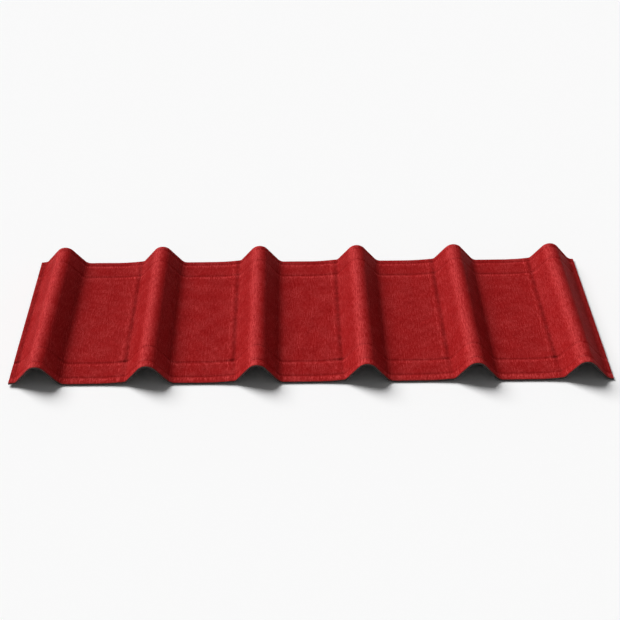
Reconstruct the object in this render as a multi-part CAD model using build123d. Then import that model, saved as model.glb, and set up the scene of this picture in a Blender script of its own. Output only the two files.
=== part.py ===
from build123d import *
from math import atan, cos, radians, tan
import os

# A bitumen-fibre roof sheet, moulded in one piece and lying on a level floor.
# X runs along the course, across the waves. Y runs up the roof slope, so the
# lower edge, which shows on the roof, is at -Y. The origin is on the floor
# under the middle of the sheet. All lengths are in millimetres.

# Sheet
sheet_length = 400.0  # up the slope
wave_count = 6
wave_pitch = 192.0  # crest to crest
side_margin = 50.0  # outer crest to the side edge
sheet_thickness = 3.0

# Wave section, measured on the upper surface from the valley floor
wave_height = 37.0
flank_angle = 49.0  # from level
crest_radius = 19.5
foot_radius = 16.0  # right flank into the valley floor
crease_radius = 8.0  # valley swell into the left flank of the next wave
swell_run = 32.0  # crease back to the place where the valley floor turns up
swell_rise = 3.8  # valley floor to the crease
crease_lead = 4.0  # straight stretch between the swell's arc and the crease's

# Lines pressed across the sheet: each is a shallow score whose side towards the
# upper edge is steep and whose other side is gentle
line_depth = 0.8
steep_side = 3.0
gentle_side = 11.0
hem_line = 18.0  # deepest place, from the lower edge
lap_line = 60.5  # from the lower edge
cover_line = 53.5  # from the upper edge, hidden under the next course on a roof
head_line = 11.0  # from the upper edge

# The section is drawn this many waves too wide at each side, then trimmed
spare_waves = 1

# The flanks meet in a sharp ridge above the rounded crest
flank_slope = radians(flank_angle)
ridge_height = wave_height - crest_radius + crest_radius / cos(flank_slope)

# The swell's arc is the largest that its run leaves room for
swell_slope = atan(swell_rise / swell_run)
crease_tangent = crease_radius * tan((flank_slope - swell_slope) / 2)
swell_tangent = swell_run / cos(swell_slope) - crease_tangent - crease_lead
swell_radius = swell_tangent / tan(swell_slope / 2)

sheet_width = (wave_count - 1) * wave_pitch + 2 * side_margin
trim_height = 4 * (wave_height + sheet_thickness)  # well past the section


def flank_reach(height: float) -> float:
    """Distance from a crest line to its flank, at a height above the valley floor."""
    return (ridge_height - height) / tan(flank_slope)


def upper_surface_line() -> FilletPolyline:
    """The upper surface seen along the slope, as corners that are all rounded."""
    corners = []
    radii = []
    first_crest = -(wave_count - 1) / 2 * wave_pitch
    for wave in range(-spare_waves, wave_count + spare_waves):
        crest = first_crest + wave * wave_pitch
        crease = crest - flank_reach(swell_rise)
        corners.append((crease - swell_run, 0))
        corners.append((crease, swell_rise))
        corners.append((crest, ridge_height))
        corners.append((crest + flank_reach(0), 0))
        radii += [swell_radius, crease_radius, crest_radius, foot_radius]
    return FilletPolyline(*corners, radius=radii[1:-1])


def trimmed_section() -> Sketch:
    """The sheet's section: the upper line thickened downwards and cut to the width."""
    line = upper_surface_line()
    strip = offset(line, amount=sheet_thickness, side=Side.RIGHT, closed=True)
    section = make_face(strip.edges())
    trim = Rectangle(sheet_width, trim_height)
    return section & trim


def length_between(section: Sketch, start: tuple, end: tuple) -> Part:
    """The section carried from one (place up the slope, lift) to the next."""
    start_place, start_lift = start
    end_place, end_lift = end
    run = Vector(0, end_place - start_place, end_lift - start_lift)
    placed = Pos(0, start_place, start_lift + sheet_thickness) * Rot(90, 0, 0) * section
    return extrude(placed, amount=run.length, dir=run)


def press_line(place: float) -> list[tuple[float, float]]:
    """The (place up the slope, lift) stations of one pressed line."""
    return [(place - gentle_side, line_depth), (place, 0), (place + steep_side, line_depth)]


def roof_sheet() -> Part:
    """The sheet as one solid, from its lower edge to its upper edge."""
    lower_edge = -sheet_length / 2
    upper_edge = sheet_length / 2
    stations = [(lower_edge, line_depth)]
    stations += press_line(lower_edge + hem_line)
    stations += press_line(lower_edge + lap_line)
    stations += press_line(upper_edge - cover_line)
    stations += press_line(upper_edge - head_line)
    stations += [(upper_edge, line_depth)]
    section = trimmed_section()
    lengths = [
        length_between(section, start, end)
        for start, end in zip(stations, stations[1:])
    ]
    return Part() + lengths


sheet = roof_sheet()
sheet.label = "roof_sheet"
os.makedirs("parts", exist_ok=True)
export_step(sheet, "parts/roof_sheet.step")
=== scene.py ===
# %% [markdown]
# A bitumen roof sheet is one piece of paper and glass fibre, moulded wet against a
# wire mesh, dried, soaked in hot bitumen and painted on its face. Here it lies on a
# studio floor, with its lower edge to the front. The frame brings in the measured
# solid of the sheet. That solid could be painted as it is, but its long thin facets
# carry no map that a pattern could follow. So a finer skin is modelled to its size.

# %% Load the frame
import math
from collections import Counter

import bpy
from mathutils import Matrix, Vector


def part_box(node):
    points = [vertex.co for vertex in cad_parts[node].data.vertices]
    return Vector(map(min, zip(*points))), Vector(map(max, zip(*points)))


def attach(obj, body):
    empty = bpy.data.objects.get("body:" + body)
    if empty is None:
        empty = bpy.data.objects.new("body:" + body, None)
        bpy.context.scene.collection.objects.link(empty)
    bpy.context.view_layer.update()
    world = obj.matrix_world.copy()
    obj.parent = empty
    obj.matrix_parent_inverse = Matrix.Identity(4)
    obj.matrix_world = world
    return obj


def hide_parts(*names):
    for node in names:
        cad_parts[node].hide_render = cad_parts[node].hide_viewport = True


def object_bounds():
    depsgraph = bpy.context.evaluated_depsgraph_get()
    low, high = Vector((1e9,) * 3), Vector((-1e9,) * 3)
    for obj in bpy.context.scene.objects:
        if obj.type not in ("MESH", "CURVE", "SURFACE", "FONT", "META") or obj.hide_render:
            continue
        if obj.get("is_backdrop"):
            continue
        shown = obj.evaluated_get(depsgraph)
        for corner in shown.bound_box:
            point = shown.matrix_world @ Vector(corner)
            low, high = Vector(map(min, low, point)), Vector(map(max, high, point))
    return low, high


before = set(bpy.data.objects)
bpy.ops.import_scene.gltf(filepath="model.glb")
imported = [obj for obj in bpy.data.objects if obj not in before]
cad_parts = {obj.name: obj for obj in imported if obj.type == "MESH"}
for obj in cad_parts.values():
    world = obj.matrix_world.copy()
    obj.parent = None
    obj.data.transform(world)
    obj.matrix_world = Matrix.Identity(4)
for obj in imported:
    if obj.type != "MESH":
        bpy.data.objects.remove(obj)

cad_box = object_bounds()
lowest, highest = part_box("roof_sheet")
sheet_width = highest.x - lowest.x
sheet_length = highest.y - lowest.y
sheet_height = highest.z - lowest.z
print(f"frame: {sheet_width:.3f} x {sheet_length:.3f} x {sheet_height:.4f} m")

# %% [markdown]
# Six waves cross the sheet, and they aren't even. From the valley floor the sheet
# first rises in a low swell, then folds sharply up into a straight flank, goes over a
# round crest and comes straight down into the next valley. A sine curve would be
# quicker, but the crease and the straight flanks are what make this sheet known. The
# sizes below are the real ones, in metres as in the frame.

# %% Sizes of the wave
millimetre = 0.001
wave_count = 6
wave_pitch = 192 * millimetre
sheet_thickness = 3 * millimetre
line_depth = 0.8 * millimetre
flank_slope = math.radians(49)
crest_radius = 19.5 * millimetre
foot_radius = 16 * millimetre
crease_radius = 8 * millimetre
swell_run = 32 * millimetre
swell_rise = 3.8 * millimetre
crease_lead = 4 * millimetre

wave_height = sheet_height - sheet_thickness - line_depth
valley_level = highest.z - wave_height
first_crest = -(wave_count - 1) / 2 * wave_pitch
print(f"wave: {wave_height * 1000:.1f} mm high, every {wave_pitch * 1000:.0f} mm")

# %% [markdown]
# The wave is made of straight runs joined by arcs. An arc that touches both runs eats
# up a little of each. The lengths could be found by trial, but a wave that ends a hair
# too low leaves a step in every valley, so they are worked out first. Drawn on as
# straight lines, the two flanks would meet in a ridge above the round crest. The
# height of that ridge gives all the other lengths.

# %% Where the runs end and the arcs begin
ridge_height = wave_height - crest_radius + crest_radius / math.cos(flank_slope)
swell_slope = math.atan(swell_rise / swell_run)


def cut_back(radius, angle):
    """Length that an arc takes off each of the two straight runs it joins."""
    return radius * math.tan(angle / 2)


crest_cut = cut_back(crest_radius, 2 * flank_slope)
foot_cut = cut_back(foot_radius, flank_slope)
crease_cut = cut_back(crease_radius, flank_slope - swell_slope)
swell_cut = swell_run / math.cos(swell_slope) - crease_cut - crease_lead
swell_radius = swell_cut / math.tan(swell_slope / 2)
flank_run = (ridge_height - swell_rise) / math.tan(flank_slope)
floor_end = first_crest - flank_run - swell_run - swell_cut
left_flank = (ridge_height - swell_rise) / math.sin(flank_slope) - crease_cut - crest_cut
right_flank = ridge_height / math.sin(flank_slope) - crest_cut - foot_cut
print(f"flanks: {left_flank * 1000:.1f} and {right_flank * 1000:.1f} mm straight")

# %% [markdown]
# Four lines are pressed across every sheet to show where the courses lap. They are
# narrow, so they need rows of points close together, while the plain sheet between
# them needs few. A Subdivide would put rows everywhere. Here the places are listed
# first: six steps on a line's gentle side, four on its steep side, and a few between.

# %% Places of the rows
row_spacing = 5.5 * millimetre
closest_rows = 0.7 * millimetre
gentle_side = 11 * millimetre
steep_side = 3 * millimetre
gentle_steps = 6
steep_steps = 4
hem_line = lowest.y + 18 * millimetre
lap_line = lowest.y + 60.5 * millimetre
cover_line = highest.y - 53.5 * millimetre
head_line = highest.y - 11 * millimetre
pressed_lines = (hem_line, lap_line, cover_line, head_line)


def evenly(start, end, steps):
    """Places from start to end, both included, in even steps."""
    return [start + (end - start) * step / steps for step in range(steps + 1)]


row_places = []
for line in pressed_lines:
    row_places += evenly(line - gentle_side, line, gentle_steps)
    row_places += evenly(line, line + steep_side, steep_steps)
for place in evenly(lowest.y, highest.y, math.ceil(sheet_length / row_spacing)):
    if all(abs(place - other) > 2 * closest_rows for other in row_places):
        row_places.append(place)
row_places = sorted(set(row_places))
print(f"rows: {len(row_places)}")

# %% [markdown]
# The modelling starts with a narrow strip of valley floor that runs up the whole
# slope. The rows could be cut once all six waves stand, but then each cut would go
# through hundreds of faces. While the strip is one face wide, a cut is one bisect.

# %% The first strip
strip_step = 5 * millimetre
floor_start = first_crest - wave_pitch + ridge_height / math.tan(flank_slope) + foot_cut

bpy.ops.object.select_all(action="DESELECT")
bpy.ops.mesh.primitive_plane_add(size=1, location=(floor_start + strip_step / 2, 0, valley_level))
sheet = bpy.context.object
sheet.name = "roof_sheet_moulded"
bpy.ops.object.mode_set(mode="EDIT")
bpy.ops.transform.resize(value=(strip_step, sheet_length, 1))
for place in row_places:
    bpy.ops.mesh.select_all(action="SELECT")
    bpy.ops.mesh.bisect(plane_co=(0, place, 0), plane_no=(0, 1, 0))
bpy.ops.object.mode_set(mode="OBJECT")
bpy.ops.object.transform_apply(location=True, rotation=True, scale=True)
print(f"strip: {len(sheet.data.polygons)} faces")

# %% [markdown]
# The strip now grows sideways along the wave, as felt is led over a mould. Two moves
# are enough: an extrusion for a straight run and a spin for an arc. Each leaves the
# new side selected for the next move, and a note keeps where that side is and which
# way it heads. Folds rounded by a Bevel would be quicker, but every bend here has a
# radius of its own, and a spin takes exactly the radius that it is given.

# %% Moves of the leading side
leading_side = {"x": floor_start + strip_step, "z": valley_level, "heading": 0.0}


def select_by_place(wanted):
    """Selects the sheet's points whose place is wanted, with the edges between them."""
    points = sheet.data.vertices
    for point in points:
        point.select = wanted(point.co)
    for edge in sheet.data.edges:
        edge.select = all(points[end].select for end in edge.vertices)
    for face in sheet.data.polygons:
        face.select = all(points[corner].select for corner in face.vertices)


def run_straight(length, spacing):
    """Extrudes the leading side straight on, in steps."""
    steps = max(1, round(length / spacing))
    across = length / steps * math.cos(leading_side["heading"])
    up = length / steps * math.sin(leading_side["heading"])
    for _ in range(steps):
        bpy.ops.mesh.extrude_region_move(TRANSFORM_OT_translate={"value": (across, 0, up)})
        leading_side["x"] += across
        leading_side["z"] += up


def turn(radius, angle, steps):
    """Spins the leading side round an arc, upwards for a positive angle."""
    side = math.copysign(1, angle)
    heading = leading_side["heading"]
    centre_x = leading_side["x"] - side * radius * math.sin(heading)
    centre_z = leading_side["z"] + side * radius * math.cos(heading)
    bpy.ops.mesh.spin(steps=steps, angle=abs(angle), center=(centre_x, 0, centre_z), axis=(0, side, 0))
    heading += angle
    leading_side["x"] = centre_x + side * radius * math.sin(heading)
    leading_side["z"] = centre_z - side * radius * math.cos(heading)
    leading_side["heading"] = heading


print(f"leading side: starts at {leading_side['x'] * 1000:.1f} mm")

# %% [markdown]
# This is the whole wave, read like a route: along the floor, up the swell, a short
# straight lead, the sharp crease, the flank, the crest, the other flank and the foot.
# A curve could be drawn through the same places and turned into a mesh, but it would
# come without the rows. The route has to end one pitch on and level again, or the
# waves won't meet, and the print shows that it does.

# %% Lead the side along one wave
select_by_place(lambda place: place.x > floor_start + strip_step / 2)
bpy.ops.object.mode_set(mode="EDIT")
run_straight(floor_end - leading_side["x"], strip_step)
turn(swell_radius, swell_slope, steps=10)
run_straight(crease_lead, millimetre)
turn(crease_radius, flank_slope - swell_slope, steps=7)
run_straight(left_flank, strip_step)
turn(crest_radius, -2 * flank_slope, steps=16)
run_straight(right_flank, strip_step)
turn(foot_radius, flank_slope, steps=7)
bpy.ops.object.mode_set(mode="OBJECT")
route = leading_side["x"] - floor_start
tilt = math.degrees(leading_side["heading"])
print(f"one wave: {len(sheet.data.polygons)} faces, {route:.4f} m on, tilted {tilt:.2f} degrees")

# %% [markdown]
# Just before the swell folds up into the flank, the real sheet dips by a hair. That
# draws a soft dark line up the slope, between the two inner lap lines. It could be
# paint alone, but a dip also shows from the back and in low light. The columns of
# points round the fold are picked by their place and moved down, most in the middle.

# %% Dip the crease
dip_depth = 0.3 * millimetre
dip_reach = 5 * millimetre
same_column = 0.01 * millimetre
crease_start = first_crest - flank_run - crease_cut


def in_dip(column):
    """Whether a column of points lies in the dip."""
    return abs(column - crease_start) < dip_reach


columns = {round(point.co.x, 6) for point in sheet.data.vertices if in_dip(point.co.x)}
for column in sorted(columns):
    depth = dip_depth * math.cos((column - crease_start) / dip_reach * math.pi / 2) ** 2
    select_by_place(lambda place: abs(place.x - column) < same_column and lap_line < place.y < cover_line)
    bpy.ops.object.mode_set(mode="EDIT")
    bpy.ops.transform.translate(value=(0, 0, -depth))
    bpy.ops.object.mode_set(mode="OBJECT")
print(f"crease: {len(columns)} columns dipped by up to {dip_depth * 1000:.1f} mm")

# %% [markdown]
# The lap lines come from thin bars on the mould. Each is a shallow score, steep
# towards the upper edge and gentle towards the lower one, and it runs unbroken over
# floor, swell and crest. A cutter for a Boolean would have to follow every bend. The
# rows near a line are already close together, so each of them simply sinks.

# %% Press the lines
line_sharpness = 1.4
least_depth = line_depth / 80
same_row = closest_rows / 4


def press_depth(row):
    """How far a row sinks for the pressed lines near it."""
    depth = 0
    for line in pressed_lines:
        side = gentle_side if row < line else steep_side
        reach = min(abs(row - line) / side, 1)
        depth += line_depth * (1 - reach) ** line_sharpness
    return depth


sunk_rows = [row for row in row_places if press_depth(row) > least_depth]
for row in sunk_rows:
    select_by_place(lambda place: abs(place.y - row) < same_row)
    bpy.ops.object.mode_set(mode="EDIT")
    bpy.ops.transform.translate(value=(0, 0, -press_depth(row)))
    bpy.ops.object.mode_set(mode="OBJECT")
print(f"pressed: {len(sunk_rows)} rows sunk by up to {max(map(press_depth, sunk_rows)) * 1000:.2f} mm")

# %% [markdown]
# What repeats is modelled once. The waves could be copied by hand and joined, but an
# Array modifier sets them side by side and welds them where they meet. It makes one
# wave more than the sheet has. Both side edges are then cut true at the frame's width,
# as the factory saws its sheets, so the waves end where the real ones do.

# %% Repeat the wave and trim the sides
array = sheet.modifiers.new("waves", "ARRAY")
array.count = wave_count + 1
array.use_relative_offset = False
array.use_constant_offset = True
array.constant_offset_displace = (wave_pitch, 0, 0)
array.use_merge_vertices = True
array.merge_threshold = 0.05 * millimetre
bpy.ops.object.modifier_apply(modifier=array.name)

bpy.ops.object.mode_set(mode="EDIT")
for edge_place, outwards in ((lowest.x, -1), (highest.x, 1)):
    bpy.ops.mesh.select_all(action="SELECT")
    bpy.ops.mesh.bisect(plane_co=(edge_place, 0, 0), plane_no=(outwards, 0, 0), clear_outer=True)
bpy.ops.object.mode_set(mode="OBJECT")
print(f"face: {len(sheet.data.polygons)} faces")

# %% [markdown]
# A spin can leave faces looking down, and the thickness will grow away from the side
# they look to. So all faces are made to agree, and turned over together if they agree
# on down. This comes before the thickness, because on a closed shell it is too late.

# %% Turn the painted side up
bpy.ops.object.mode_set(mode="EDIT")
bpy.ops.mesh.select_all(action="SELECT")
bpy.ops.mesh.normals_make_consistent(inside=False)
bpy.ops.object.mode_set(mode="OBJECT")
if sum(face.normal.z for face in sheet.data.polygons) < 0:
    bpy.ops.object.mode_set(mode="EDIT")
    bpy.ops.mesh.flip_normals()
    bpy.ops.object.mode_set(mode="OBJECT")
faces_up = sum(face.normal.z > 0 for face in sheet.data.polygons)
print(f"painted side: {faces_up} of {len(sheet.data.polygons)} faces look up")

# %% [markdown]
# The print of the mesh and the wear follow the surface up and down the waves. Read
# from plain X and Y, they would stretch on the flanks. The sheet gets a UV map of its
# own, in metres: U is the distance walked over the waves from the first crest, and V
# is the place up the slope. One walk along the lower edge gives U for every column.

# %% Unroll the face into a UV map
lower_row = sorted(
    (point.co.copy() for point in sheet.data.vertices if point.co.y < lowest.y + same_row),
    key=lambda place: place.x,
)
walked = {}
distance = 0
for before, place in zip([lower_row[0], *lower_row], lower_row):
    distance += (place - before).length
    walked[round(place.x, 5)] = distance
crest_column = min(walked, key=lambda x: abs(x - first_crest))
next_crest_column = min(walked, key=lambda x: abs(x - first_crest - wave_pitch))
wave_walk = walked[next_crest_column] - walked[crest_column]

while sheet.data.uv_layers:
    sheet.data.uv_layers.remove(sheet.data.uv_layers[0])
unrolled = sheet.data.uv_layers.new(name="unrolled")
for corner in sheet.data.loops:
    place = sheet.data.vertices[corner.vertex_index].co
    unrolled.data[corner.index].uv = (walked[round(place.x, 5)] - walked[crest_column], place.y)
print(f"unrolled: {distance:.3f} m of surface, {wave_walk * 1000:.1f} mm a wave")

# %% [markdown]
# A sheet of moulded fibre is never quite true, and the light along a crest wavers. A
# bump would show that in the shading only. A Displace modifier with a soft cloud
# texture moves the skin itself, by a few tenths of a millimetre over a hand's width,
# so the edges waver a little too.

# %% Let the skin waver
waver = bpy.data.textures.new("waver", "CLOUDS")
waver.noise_scale = 70 * millimetre
waver.noise_depth = 1
uneven = sheet.modifiers.new("uneven", "DISPLACE")
uneven.texture = waver
uneven.texture_coords = "LOCAL"
uneven.strength = 0.7 * millimetre
uneven.mid_level = 0.5
bpy.ops.object.modifier_apply(modifier=uneven.name)
print(f"wavered: highest point at {max(point.co.z for point in sheet.data.vertices) * 1000:.2f} mm")

# %% [markdown]
# Now the finishes. A node tree written out link by link is long and hard to follow. A
# small class keeps one material's tree and gives its commonest nodes short names, so
# that a finish reads like a recipe. The sizes of a pattern are given in metres, and
# the class turns them into the scales that the texture nodes ask for.

# %% Words for the finishes
class Finish:
    """One material and the nodes it is mixed from."""

    def __init__(self, name):
        self.material = bpy.data.materials.new(name)
        self.material.use_nodes = True
        self.tree = self.material.node_tree
        self.shader = self.tree.nodes["Principled BSDF"]

    def join(self, value, socket):
        """Links a socket to another, or sets its value or colour."""
        if isinstance(value, bpy.types.NodeSocket):
            self.tree.links.new(value, socket)
        elif socket.type == "RGBA":
            socket.default_value = (*value, 1)
        else:
            socket.default_value = value

    def node(self, kind, sockets, **settings):
        """A node with its settings, and with its sockets set or linked."""
        made = self.tree.nodes.new(kind)
        for setting, value in settings.items():
            setattr(made, setting, value)
        for socket, value in sockets.items():
            self.join(value, made.inputs[socket])
        return made

    def maths(self, operation, *numbers):
        """The result of a Math node."""
        return self.node("ShaderNodeMath", dict(enumerate(numbers)), operation=operation).outputs[0]

    def times(self, first, *others):
        """A product of two or more values."""
        for other in others:
            first = self.maths("MULTIPLY", first, other)
        return first

    def plus(self, first, *others):
        """A sum of two or more values."""
        for other in others:
            first = self.maths("ADD", first, other)
        return first

    def noise(self, vector, size, detail=2.0):
        """Noise from 0 to 1 whose blotches are about size across."""
        sockets = {"Vector": vector, "Scale": 1 / size, "Detail": detail}
        return self.node("ShaderNodeTexNoise", sockets).outputs["Fac"]

    def to_nearest_spot(self, vector, spacing):
        """Distance to the nearest of scattered spots, in spacings."""
        sockets = {"Vector": vector, "Scale": 1 / spacing}
        return self.node("ShaderNodeTexVoronoi", sockets).outputs["Distance"]

    def stretched(self, vector, factors, angle):
        """A place turned and stretched, so that noise on it makes streaks."""
        turned = {"Vector": vector, "Rotation": (0, 0, angle), "Scale": factors}
        return self.node("ShaderNodeMapping", turned).outputs["Vector"]

    def ramp(self, value, start, end, low=0.0, high=1.0):
        """Value spread smoothly from low, at start, to high, at end."""
        sockets = {"Value": value, "From Min": start, "From Max": end, "To Min": low, "To Max": high}
        return self.node("ShaderNodeMapRange", sockets, interpolation_type="SMOOTHSTEP").outputs["Result"]

    def band(self, place, centre, half_width):
        """1 on a line at centre, fading to 0 at half_width on both sides."""
        off_line = self.maths("ABSOLUTE", self.maths("SUBTRACT", place, centre))
        return self.ramp(off_line, 0, half_width, 1, 0)

    def mix(self, share, first, second):
        """Two colours mixed by a share."""
        made = self.node("ShaderNodeMix", {"Factor": share}, data_type="RGBA")
        self.join(first, made.inputs[6])
        self.join(second, made.inputs[7])
        return made.outputs[2]

    def bump(self, height, distance):
        """Links a height, in units of distance, to the shader's normal."""
        relief = self.node("ShaderNodeBump", {"Height": height, "Distance": distance, "Strength": 1.0})
        self.wire("Normal", relief.outputs["Normal"])

    def wire(self, name, value):
        """Links or sets one socket of the shader."""
        self.join(value, self.shader.inputs[name])


print("words:", [word for word in vars(Finish) if not word.startswith("_")])

# %% [markdown]
# The face is sprayed red after the sheet is soaked. Before any colour, the finish has
# to know where on the sheet it is: how far up the slope, how far from the nearest
# crest, and whether on a flank or on the floor. A mask for each wave could say that.
# Wrapping the walked distance round each crest says it for all six waves at once.

# %% Find the way about on the face
crease_walk = crest_radius * flank_slope + left_flank + crease_radius * (flank_slope - swell_slope)
flank_walk = crest_radius * flank_slope + right_flank
foot_walk = flank_walk + foot_radius * flank_slope
lower_flank = 0.6 * flank_walk

paint = Finish("painted_face")
face_place = paint.node("ShaderNodeUVMap", {}, uv_map="unrolled").outputs["UV"]
directions = paint.node("ShaderNodeSeparateXYZ", {"Vector": face_place})
walk, slope_place = directions.outputs["X"], directions.outputs["Y"]
from_crest = paint.maths("WRAP", walk, wave_walk / 2, -wave_walk / 2)
on_floor = paint.ramp(paint.maths("ABSOLUTE", from_crest), lower_flank, flank_walk)
print(f"from the crest: crease {crease_walk * 1000:.0f} mm, foot {foot_walk * 1000:.0f} mm")

# %% [markdown]
# The wire mesh leaves its print in the wet fibre: ribs two millimetres apart up the
# slope, and rows across them. On the floor the rows nearly vanish between the ribs.
# Modelled, they would be millions of faces. Two sine waves on the unrolled place make
# them, with a slow noise that lets them wander and another that fades them in patches.

# %% Print of the mesh
rib_pitch = 1.97 * millimetre
row_pitch = 3.4 * millimetre
wander_reach = 0.9 * millimetre
flank_ribs, floor_ribs = 0.75, 1.1
flank_rows, floor_rows = 0.6, 0.25

wander = paint.times(paint.noise(face_place, 9 * millimetre), wander_reach)
rib_place = paint.plus(walk, wander)
row_place = paint.plus(slope_place, wander)
ribs = paint.maths("SINE", paint.times(rib_place, math.tau / rib_pitch))
rows = paint.maths("SINE", paint.times(row_place, math.tau / row_pitch))
ribs_here = paint.times(ribs, paint.ramp(on_floor, 0, 1, flank_ribs, floor_ribs))
rows_here = paint.times(rows, paint.ramp(on_floor, 0, 1, flank_rows, floor_rows))
patches = paint.ramp(paint.noise(face_place, 30 * millimetre, 3), 0.36, 0.62, 0.65, 1.0)
mesh_print = paint.times(paint.plus(ribs_here, rows_here), patches)
print(f"print: {wave_walk / rib_pitch:.0f} ribs a wave, {sheet_length / row_pitch:.0f} rows")

# %% [markdown]
# Each rib took the paint in its own way, so from a distance the face looks finely
# streaked up the slope. A stretched noise alone looks like wood. Here the place is
# first rounded to the number of the rib, so each rib gets one tone across and a slow
# change along. The tone is 0 for deep red, 0.4 for plain, 0.8 for pale, and 1 for
# rubbed paint and the painted highlight on the crests.

# %% Tone of the paint
plain_tone = 0.4
pale_tone = 0.8
rib_contrast = 0.8
grain_contrast = 0.5
cloud_contrast = 0.25
print_contrast = 0.46
rib_stretch = 0.16


def swing(value, strength):
    """A noise from 0 to 1 as a change of tone, up and down."""
    return paint.times(paint.maths("SUBTRACT", value, 0.5), strength)


rib_number = paint.maths("SNAP", paint.plus(rib_place, rib_pitch / 4), rib_pitch)
along_rib = paint.node("ShaderNodeCombineXYZ", {"X": rib_number, "Y": paint.times(slope_place, rib_stretch)})
rib_paint = paint.noise(along_rib.outputs["Vector"], 2.1 * millimetre)
rib_top = paint.ramp(ribs, -1, 1, 0.25, 1.0)
grain = paint.noise(face_place, 3 * millimetre, 3)
cloud = paint.noise(face_place, 45 * millimetre, 3)
tone = paint.plus(
    plain_tone,
    paint.times(swing(rib_paint, rib_contrast), rib_top),
    swing(grain, grain_contrast),
    swing(cloud, cloud_contrast),
    paint.times(mesh_print, print_contrast),
)
print(f"tone: {len(paint.tree.nodes)} nodes so far")

# %% [markdown]
# Sheets are stacked, dragged and walked on, and that rubs the paint pale where the
# surface stands proud: along the hem and on the rib ends at the pressed lines. These
# pale bands are also painted glints, on the hem and below each line, where the slopes
# face the lamp. The left shoulder of each crest, the side the lamp lights, gets a pale
# band that is a painted highlight as well as wear. One flat pale strip would look
# painted on. The paleness goes by the tone of each rib, so it breaks up into short dashes.

# %% Wear and painted highlights on the lines and the crests
line_wear_and_glint = 0.24
hem_share = 0.7

dashes = paint.ramp(rib_paint, 0.46, 0.60, 0.25, 1.0)
# The pale bands along the hem and below the lines are wear and painted glints, on the slopes that face the
# lamp.
wear_and_glints = paint.times(paint.band(slope_place, lowest.y + 6 * millimetre, 8 * millimetre), hem_share)
for line in pressed_lines:
    below_line = paint.band(slope_place, line - 6 * millimetre, 5 * millimetre)
    wear_and_glints = paint.plus(wear_and_glints, paint.times(below_line, on_floor))
# The pale band on the left crest shoulders is a painted highlight, where the lamp lights them, and wear.
shoulder_wear_and_highlight = paint.times(paint.band(from_crest, -8 * millimetre, 18 * millimetre), rib_top)
rub_and_highlight_strength = paint.ramp(rib_paint, 0.35, 0.65, 0.27, 0.53)
tone = paint.plus(tone, paint.times(wear_and_glints, dashes, line_wear_and_glint), paint.times(shoulder_wear_and_highlight, rub_and_highlight_strength))
print(f"wear: {len(pressed_lines)} lines, {wave_count} crests and the hem")

# %% [markdown]
# The crease above the lap line is darkened, most of all in the corner where the crease
# and the lap line cross: grime and painted shade in these hollows. The pressed lines
# are darkened thinly, and so is the foot of the right flank, away from the lamp: this
# is painted shade, in the scores and beyond the flank's shadow. Small dark specks
# everywhere are grime. Beside the crease runs a paler lip. The grime and the painted
# shade are kept as one share from 0 to 1 and not taken off the tone, because it is
# also duller than the paint.

# %% Grime and painted shade in the crease, the lines and the foot
fold_grime_and_shade = 0.30
corner_grime_and_shade = 0.40
foot_painted_shade = 0.11
line_painted_shade = 0.06
lip_paling = 0.18

patchy = paint.ramp(paint.noise(face_place, 16 * millimetre), 0.3, 0.6, 0.3, 1.0)
above_lap = paint.ramp(slope_place, lap_line - 25 * millimetre, lap_line + 10 * millimetre, 0.35, 1.0)
# The darkened crease, and its corner where it crosses the lap line, are grime and painted shade.
fold = paint.band(from_crest, -crease_walk - 2.5 * millimetre, 7 * millimetre)
lip = paint.band(from_crest, -crease_walk - 11 * millimetre, 4 * millimetre)
corner_up = paint.band(slope_place, lap_line + 2 * millimetre, 7 * millimetre)
corner_across = paint.band(from_crest, -crease_walk - 6 * millimetre, 16 * millimetre)
specks = paint.ramp(paint.to_nearest_spot(face_place, 18 * millimetre), 0.04, 0.08, 0.4, 0.0)
# The darkened foot of the right flank is painted shade, on the side away from the lamp.
foot = paint.band(from_crest, foot_walk, 32 * millimetre)
grime_and_shade_share = paint.plus(
    paint.times(fold, above_lap, patchy, fold_grime_and_shade),
    paint.times(corner_up, corner_across, patchy, corner_grime_and_shade),
    paint.times(foot, foot_painted_shade),
    specks,
)
# The darkening in each pressed line is painted shade in the score.
for line in pressed_lines:
    in_line = paint.band(slope_place, line + 2.5 * millimetre, 4 * millimetre)
    grime_and_shade_share = paint.plus(grime_and_shade_share, paint.times(in_line, on_floor, line_painted_shade))
tone = paint.plus(tone, paint.times(lip, dashes, lip_paling))
print(f"grime: {len(paint.tree.nodes)} nodes so far")

# %% [markdown]
# A ramp turns the tone into red. Two colours mixed would do, but the paint gets less
# pure where it is rubbed pale and where the highlight is painted, and four stops can
# show that. The dark mix on top is grime and painted shade. The dry film is matt and
# hardly mirrors anything, even at a flat angle, so the specular level is very low and
# set straight on the shader. The print and the grain that coloured the paint also
# raise its bump, so that the light and the colour change in the same places.

# %% Colour, gloss and relief of the paint
deep_red = (0.150, 0.0010, 0.0012)
oxide_red = (0.284, 0.0088, 0.0092)
pale_red = (0.440, 0.0300, 0.0305)
# The rubbed colour is also the painted highlight on the crest shoulders.
rubbed_and_highlight_red = (0.650, 0.0720, 0.0720)
# The grime colour is also the painted shade in the crease, the lines and the foot.
grime_and_shade = (0.035, 0.0015, 0.0015)
print_relief = 1.8
grain_relief = 2.2
fibre_height = 0.034 * millimetre

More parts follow.
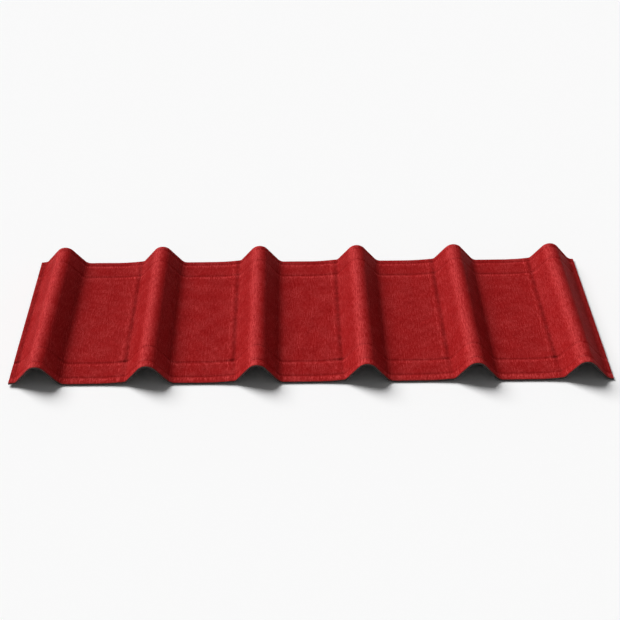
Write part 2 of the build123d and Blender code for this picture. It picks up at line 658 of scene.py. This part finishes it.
tones = paint.node("ShaderNodeValToRGB", {"Fac": tone})
tones.color_ramp.elements[0].color = (*deep_red, 1)
tones.color_ramp.elements[1].color = (*rubbed_and_highlight_red, 1)
tones.color_ramp.elements.new(plain_tone).color = (*oxide_red, 1)
tones.color_ramp.elements.new(pale_tone).color = (*pale_red, 1)
paint.wire("Base Color", paint.mix(grime_and_shade_share, tones.outputs["Color"], grime_and_shade))
paint.wire("Roughness", paint.plus(paint.ramp(grain, 0.25, 0.75, 0.34, 0.46), grime_and_shade_share))
paint.wire("Specular IOR Level", 0.002)
paint.wire("Specular Tint", (1.0, 0.30, 0.30))
fibre = paint.noise(paint.stretched(face_place, (1, 0.2, 1), 0.5), 1.1 * millimetre, 3)
relief = paint.plus(paint.times(mesh_print, print_relief), paint.times(grain, grain_relief), fibre)
paint.bump(relief, fibre_height)
print(f"paint: {len(paint.tree.nodes)} nodes")

# %% [markdown]
# Nobody paints the back. There the fibre is only soaked in bitumen: nearly black, a
# little brown, dull and coarser than the face. Flat black would do for most views, but
# loose fibres and drier blotches show as soon as the sheet is turned over. A noise
# stretched one way and turned makes the fibres, since wet pulp settles along its flow.

# %% Bitumen on the back
bitumen = (0.022, 0.012, 0.009)
dry_bitumen = (0.050, 0.030, 0.024)

back = Finish("bitumen_back")
back_place = back.node("ShaderNodeUVMap", {}, uv_map="unrolled").outputs["UV"]
loose_fibre = back.noise(back.stretched(back_place, (0.25, 1, 1), 0.9), 2.2 * millimetre, 4)
blotches = back.noise(back_place, 24 * millimetre, 4)
dryness = back.times(back.ramp(loose_fibre, 0.4, 0.7), back.ramp(blotches, 0.3, 0.7, 0.4, 1.0))
back.wire("Base Color", back.mix(dryness, bitumen, dry_bitumen))
back.wire("Roughness", back.ramp(blotches, 0.3, 0.7, 0.62, 0.82))
back.bump(back.plus(loose_fibre, back.noise(back_place, 3.4 * millimetre)), 0.16 * millimetre)
print(f"back: {len(back.tree.nodes)} nodes")

# %% [markdown]
# The saw opens the felt at the edges: dark fibre ends, with red dust from the paint
# here and there. The unrolled map has no depth, so this finish reads the place on the
# object instead. A noise finer than the sheet is thick makes the fibre ends.

# %% Cut edge of the felt
edge = Finish("cut_edge")
place_on_sheet = edge.node("ShaderNodeTexCoord", {}).outputs["Object"]
fibre_ends = edge.noise(place_on_sheet, 1.4 * millimetre, 3)
dust = edge.noise(place_on_sheet, 9 * millimetre)
felt = edge.mix(edge.ramp(fibre_ends, 0.42, 0.66), bitumen, dry_bitumen)
edge.wire("Base Color", edge.mix(edge.ramp(dust, 0.45, 0.7, 0, 0.35), felt, deep_red))
edge.wire("Roughness", 0.8)
edge.bump(fibre_ends, 0.2 * millimetre)

for finish in (paint, back, edge):
    sheet.data.materials.append(finish.material)
print("finishes:", [material.name for material in sheet.data.materials])

# %% [markdown]
# So far there is only a skin. A copy pushed down and bridged along the rim would give
# it thickness, but Solidify does the same and keeps it even on the bends. Its offset
# of -1 grows the felt away from the painted side, and its material offsets put the
# second finish below and the third round the rim. A small bevel takes off the knife
# edge, as handling does.

# %% Give the sheet its thickness
thickness = sheet.modifiers.new("thickness", "SOLIDIFY")
thickness.thickness = sheet_thickness
thickness.offset = -1
thickness.use_even_offset = True
thickness.material_offset = 1
thickness.material_offset_rim = 2
rim = sheet.modifiers.new("rim", "BEVEL")
rim.width = 0.35 * millimetre
rim.segments = 2
rim.limit_method = "ANGLE"
rim.angle_limit = math.radians(50)
for modifier in (thickness, rim):
    bpy.ops.object.modifier_apply(modifier=modifier.name)
bpy.ops.object.shade_smooth_by_angle(angle=math.radians(40))

faces_at_edge = Counter(key for face in sheet.data.polygons for key in face.edge_keys)
open_edges = sum(count != 2 for count in faces_at_edge.values())
print(f"sheet: {len(sheet.data.polygons)} faces, {open_edges} open edges")

# %% [markdown]
# The waver has pushed a few spots out of the measured box, and the real size is a
# promise. Scaling the object would leave it scaled, so the points themselves are
# stretched in edit mode, by about a percent at most, and then moved until the sheet
# stands on the floor and its highest crest is as high as the frame's.

# %% Set the sheet into the frame's box
def reach(axis):
    """Lowest and highest place of the sheet's points on one axis."""
    places = [point.co[axis] for point in sheet.data.vertices]
    return min(places), max(places)


stretch = []
for axis in range(3):
    low, high = reach(axis)
    stretch.append((highest[axis] - lowest[axis]) / (high - low))
bpy.ops.object.mode_set(mode="EDIT")
bpy.ops.mesh.select_all(action="SELECT")
bpy.ops.transform.resize(value=stretch, center_override=(0, 0, 0))
bpy.ops.object.mode_set(mode="OBJECT")
shift = [lowest[axis] - reach(axis)[0] for axis in range(3)]
bpy.ops.object.mode_set(mode="EDIT")
bpy.ops.transform.translate(value=shift)
bpy.ops.object.mode_set(mode="OBJECT")
print("stretched by", [round(factor, 4) for factor in stretch])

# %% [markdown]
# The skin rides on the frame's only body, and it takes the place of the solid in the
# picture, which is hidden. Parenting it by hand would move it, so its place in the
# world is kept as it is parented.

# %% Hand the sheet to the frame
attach(sheet, "root")
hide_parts("roof_sheet")
print(f"{sheet.name}: stands for roof_sheet")

# %% [markdown]
# The studio starts with a wide floor. A small one would show its edge, or need a
# backdrop behind it. This one is 80 metres wide, pale and quite dull, so it carries
# the shadow of the sheet and mirrors nothing.

# %% Floor
bpy.ops.object.select_all(action="DESELECT")
bpy.ops.mesh.primitive_plane_add(size=80)
floor = bpy.context.object
floor.name = "studio_floor"
pale = Finish("pale_floor")
pale.wire("Base Color", (0.95, 0.95, 0.95))
pale.wire("Roughness", 0.9)
pale.wire("Specular IOR Level", 0.0)
floor.data.materials.append(pale.material)
floor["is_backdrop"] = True
print(f"floor: {floor.dimensions.x:.0f} m wide")

# %% [markdown]
# The lamp stands far to the left and behind the sheet, so that the light skims along
# the right flanks, which go dark, and the crests get a light shoulder. An area lamp
# near the sheet would light its two ends unevenly. A sun with a wide disc is as soft,
# and the same everywhere. Its strength is set so that, on level ground, lamp and sky
# together show a colour about as it is written.

# %% Lamp
lamp_direction = Vector((-0.80, 0.90, 1.0)).normalized()
lamp_share = 0.87
lamp_data = bpy.data.lights.new("soft_lamp", "SUN")
lamp_data.energy = lamp_share * math.pi / lamp_direction.z
lamp_data.angle = math.radians(36)
lamp = bpy.data.objects.new("soft_lamp", lamp_data)
bpy.context.scene.collection.objects.link(lamp)
lamp.rotation_mode = "QUATERNION"
lamp.rotation_quaternion = lamp_direction.to_track_quat("Z", "Y")
print(f"lamp: {math.degrees(math.asin(lamp_direction.z)):.0f} degrees up")

# %% [markdown]
# The sky only fills the shadows. A plain white one would wash out the dark flanks, so
# it is dim overhead and white in a low band round the horizon, where a low camera
# looks past the floor's far edge.

# %% Sky
overhead = 0.11
horizon = 0.95
band_top = 0.10
fade_end = 0.22

sky = bpy.data.worlds.new("studio_sky")
sky.use_nodes = True
nodes, links = sky.node_tree.nodes, sky.node_tree.links
look = nodes.new("ShaderNodeTexCoord")
look_axes = nodes.new("ShaderNodeSeparateXYZ")
fade = nodes.new("ShaderNodeMapRange")
fade.interpolation_type = "SMOOTHSTEP"
fade_values = {"From Min": band_top, "From Max": fade_end, "To Min": horizon, "To Max": overhead}
for socket, value in fade_values.items():
    fade.inputs[socket].default_value = value
links.new(look.outputs["Generated"], look_axes.inputs["Vector"])
links.new(look_axes.outputs["Z"], fade.inputs["Value"])
links.new(fade.outputs["Result"], nodes["Background"].inputs["Strength"])
nodes["Background"].inputs["Color"].default_value = (1, 1, 1, 1)
bpy.context.scene.world = sky
print(f"sky: {horizon} at the horizon, {overhead} overhead")

# %% [markdown]
# The photograph looks up the slope from in front and above, through a lens of moderate
# length, a degree off the middle of the sheets. The camera takes the same direction
# and lens, and stands just far enough away for the whole width of one sheet. It is
# built from its direction, because a rotation typed in by hand is easily a degree out.

# %% Camera
camera_elevation = math.radians(33.8)
camera_yaw = math.radians(1)
camera_distance = 2.5
camera_aim = Vector((0, 0, sheet_height / 2))
level_part = math.cos(camera_elevation)
backwards = Vector((
    -math.sin(camera_yaw) * level_part,
    -math.cos(camera_yaw) * level_part,
    math.sin(camera_elevation),
))

camera_data = bpy.data.cameras.new("camera")
camera_data.lens = 77.8
camera_data.sensor_width = 36
camera = bpy.data.objects.new("camera", camera_data)
bpy.context.scene.collection.objects.link(camera)
camera.location = camera_aim + camera_distance * backwards
camera.rotation_mode = "QUATERNION"
camera.rotation_quaternion = backwards.to_track_quat("Z", "Y")
bpy.context.scene.camera = camera
bpy.context.scene.view_settings.view_transform = "Standard"
print("camera:", [round(value, 3) for value in camera.location])

# %% [markdown]
# Last the size is printed: the box of what will be seen, next to the box of the
# frame from the first cell. A look at the picture wouldn't show a sheet that is a
# millimetre too long.

# %% Print the sizes
visual_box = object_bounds()
boxes = {"cad": [list(corner) for corner in cad_box], "visual": [list(corner) for corner in visual_box]}
for name, corners in boxes.items():
    print(name, [[round(value * 1000, 2) for value in corner] for corner in corners])
